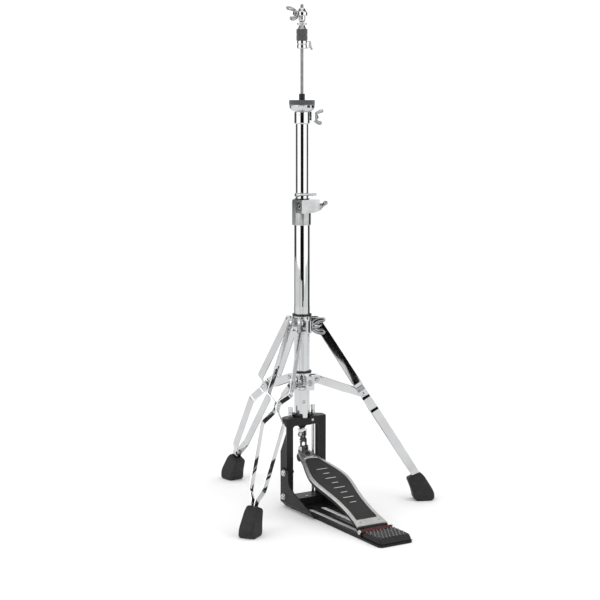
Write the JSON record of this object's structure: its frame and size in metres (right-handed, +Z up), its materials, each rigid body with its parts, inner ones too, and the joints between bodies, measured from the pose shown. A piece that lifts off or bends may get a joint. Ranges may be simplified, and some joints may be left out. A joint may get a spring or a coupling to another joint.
{
  "type": "hi-hat stand",
  "caption": "Chromed hi-hat stand: double-braced folding tripod, chain-driven pedal, telescoping tube, pull rod, clutch and felt cymbal seat.",
  "frame": {"origin": "on the floor, on the underside of the base plate, directly below the axis of the vertical tube", "axes": "+Z up along the tube; the pedal's heel points to -Y, so the player faces +Y; +X to the player's right"},
  "size_m": [0.4934, 0.6239, 1.0195],
  "materials": {
    "chrome": "bright polished chrome plate",
    "plated_steel": "zinc plated steel, satin",
    "black_casting": "black powder coat on die casting, fine texture",
    "satin_alloy": "satin cast aluminium",
    "black_nylon": "moulded black nylon",
    "grey_felt": "pressed wool felt, dark grey",
    "black_rubber": "matt black rubber",
    "hinge_red": "dark red anodised hinge"
  },
  "bodies": {
    "base": {"base_plate": "black_casting", "heel_plate": "black_casting", "pedal_frame": "black_casting", "frame_bolt_left_lower": "chrome", "frame_bolt_left_upper": "chrome", "frame_bolt_right_lower": "chrome", "frame_bolt_right_upper": "chrome", "heel_hinge_pin": "chrome", "heel_hinge_strip": "hinge_red", "base_tube": "chrome", "base_tube_screw": "plated_steel", "tube_clamp": "chrome", "clamp_nut": "chrome", "clamp_bushing": "black_nylon", "return_spring": "plated_steel"},
    "footboard": {"footboard": "satin_alloy", "footboard_insert": "black_rubber", "toe_bracket": "satin_alloy", "toe_bolt": "chrome"},
    "pull_rod": {"pull_rod": "chrome", "spring_seat": "plated_steel", "rod_connector": "chrome"},
    "chain": {"drive_chain": "black_casting"},
    "spur_left": {"anchor_spur_left": "chrome"},
    "spur_right": {"anchor_spur_right": "chrome"},
    "clamp_handle": {"clamp_handle": "plated_steel"},
    "upper": {"upper_tube": "chrome", "memory_lock": "chrome", "memory_lock_screw": "plated_steel", "tube_top_collar": "chrome"},
    "seat": {"seat_cup": "chrome", "seat_felt": "grey_felt", "seat_sleeve": "black_nylon", "tilt_clip": "black_nylon"},
    "tilt_screw": {"tilt_wing_screw": "chrome"},
    "clutch": {"clutch_body": "chrome", "clutch_lock_nut": "chrome", "clutch_felt_lower": "grey_felt", "clutch_felt_upper": "grey_felt", "clutch_bottom_nut": "chrome"},
    "clutch_screw": {"clutch_wing_screw": "chrome"},
    "clutch_lever": {"clutch_release_lever": "chrome"},
    "tripod_ring": {"leg_collar_gasket": "black_nylon"},
    "tripod": {"leg_collar": "chrome"},
    "leg_screw": {"leg_collar_wing_screw": "chrome"},
    "brace_ring": {"brace_collar": "chrome", "brace_collar_gasket": "black_nylon", "brace_collar_bolt": "plated_steel"},
    "leg_right": {"leg_right_strip_a": "chrome", "leg_right_strip_b": "chrome", "foot_right": "black_rubber"},
    "brace_right": {"brace_right": "chrome"},
    "leg_rear": {"leg_rear_strip_a": "chrome", "leg_rear_strip_b": "chrome", "foot_rear": "black_rubber"},
    "brace_rear": {"brace_rear": "chrome"},
    "leg_left": {"leg_left_strip_a": "chrome", "leg_left_strip_b": "chrome", "foot_left": "black_rubber"},
    "brace_left": {"brace_left": "chrome"}
  },
  "joints": [
    {"name": "footboard_press", "type": "hinge", "parent": "base", "child": "footboard", "pos_m": [0, -0.2735, 0.0125], "axis": [-1, 0, 0], "range_deg": [0, 9]},
    {"name": "rod_pull", "type": "slide", "parent": "base", "child": "pull_rod", "axis": [0, 0, -1], "range_m": [0, 0.0446], "stiffness_N_per_m": 600, "springref_m": -0.05, "deforming": ["return_spring"]},
    {"name": "chain_swing", "type": "hinge", "parent": "pull_rod", "child": "chain", "pos_m": [0, -0.003, 0.149], "axis": [1, 0, 0], "range_deg": [0, 27.6]},
    {"name": "spur_left_travel", "type": "slide", "parent": "base", "child": "spur_left", "axis": [0, 0, 1], "range_m": [0, 0.025]},
    {"name": "spur_right_travel", "type": "slide", "parent": "base", "child": "spur_right", "axis": [0, 0, 1], "range_m": [0, 0.025]},
    {"name": "clamp_handle_turn", "type": "hinge", "parent": "base", "child": "clamp_handle", "pos_m": [0.0236, -0.0215, 0.619], "axis": [1, 0, 0], "range_deg": [-180, 180]},
    {"name": "height_adjust", "type": "slide", "parent": "base", "child": "upper", "axis": [0, 0, 1], "range_m": [0, 0.04]},
    {"name": "seat_tilt", "type": "hinge", "parent": "upper", "child": "seat", "pos_m": [-0.015, 0, 0.8079], "axis": [0, -1, 0], "range_deg": [0, 2.5]},
    {"name": "tilt_screw_turn", "type": "hinge", "parent": "seat", "child": "tilt_screw", "pos_m": [0.029, 0, 0.7965], "axis": [1, 0, 0], "range_deg": [-180, 180]},
    {"name": "clutch_height", "type": "slide", "parent": "pull_rod", "child": "clutch", "axis": [0, 0, 1], "range_m": [-0.04, 0]},
    {"name": "clutch_screw_turn", "type": "hinge", "parent": "clutch", "child": "clutch_screw", "pos_m": [-0.0112, 0, 1.001], "axis": [-1, 0, 0], "range_deg": [-180, 180]},
    {"name": "clutch_lever_swing", "type": "hinge", "parent": "clutch", "child": "clutch_lever", "pos_m": [0.018, 0, 0.9365], "axis": [0, 1, 0], "range_deg": [0, 25]},
    {"name": "tripod_slide", "type": "slide", "parent": "base", "child": "tripod_ring", "axis": [0, 0, 1], "range_m": [0, 0.0466]},
    {"name": "tripod_swivel", "type": "hinge", "parent": "tripod_ring", "child": "tripod", "pos_m": [0, 0, 0.376], "axis": [0, 0, 1], "range_deg": [-20, 20]},
    {"name": "leg_screw_turn", "type": "hinge", "parent": "tripod", "child": "leg_screw", "pos_m": [0.00268, -0.03184, 0.376], "axis": [0.9135, -0.4067, 0], "range_deg": [-30, 30]},
    {"name": "leg_right_fold", "type": "hinge", "parent": "tripod", "child": "leg_right", "pos_m": [0.02741, -0.0122, 0.383], "axis": [0.4067, 0.9135, 0], "range_deg": [0, 14]},
    {"name": "leg_rear_fold", "type": "hinge", "parent": "tripod", "child": "leg_rear", "pos_m": [-0.00314, 0.02984, 0.383], "axis": [-0.9945, -0.1045, 0], "range_deg": [0, 14]},
    {"name": "leg_left_fold", "type": "hinge", "parent": "tripod", "child": "leg_left", "pos_m": [-0.02427, -0.01763, 0.383], "axis": [0.5878, -0.809, 0], "range_deg": [0, 14]},
    {"name": "brace_slide", "type": "slide", "parent": "tripod", "child": "brace_ring", "axis": [0, 0, 1], "range_m": [0, 0.0332]},
    {"name": "brace_right_fold", "type": "hinge", "parent": "brace_ring", "child": "brace_right", "pos_m": [0.02741, -0.0122, 0.2628], "axis": [0.4067, 0.9135, 0], "range_deg": [0, 36.9]},
    {"name": "brace_rear_fold", "type": "hinge", "parent": "brace_ring", "child": "brace_rear", "pos_m": [-0.00314, 0.02984, 0.2628], "axis": [-0.9945, -0.1045, 0], "range_deg": [0, 36.9]},
    {"name": "brace_left_fold", "type": "hinge", "parent": "brace_ring", "child": "brace_left", "pos_m": [-0.02427, -0.01763, 0.2628], "axis": [0.5878, -0.809, 0], "range_deg": [0, 36.9]}
  ],
  "couplings": [
    {"joint": "rod_pull", "follows": "footboard_press", "m_per_rad": 0.2834},
    {"joint": "chain_swing", "follows": "footboard_press", "ratio": 3.046},
    {"joint": "leg_rear_fold", "follows": "leg_right_fold", "ratio": 1},
    {"joint": "leg_left_fold", "follows": "leg_right_fold", "ratio": 1},
    {"joint": "tripod_slide", "follows": "leg_right_fold", "m_per_rad": 0.19},
    {"joint": "brace_slide", "follows": "leg_right_fold", "m_per_rad": 0.13524},
    {"joint": "brace_right_fold", "follows": "leg_right_fold", "ratio": 2.6283},
    {"joint": "brace_rear_fold", "follows": "leg_right_fold", "ratio": 2.6283},
    {"joint": "brace_left_fold", "follows": "leg_right_fold", "ratio": 2.6283}
  ]
}
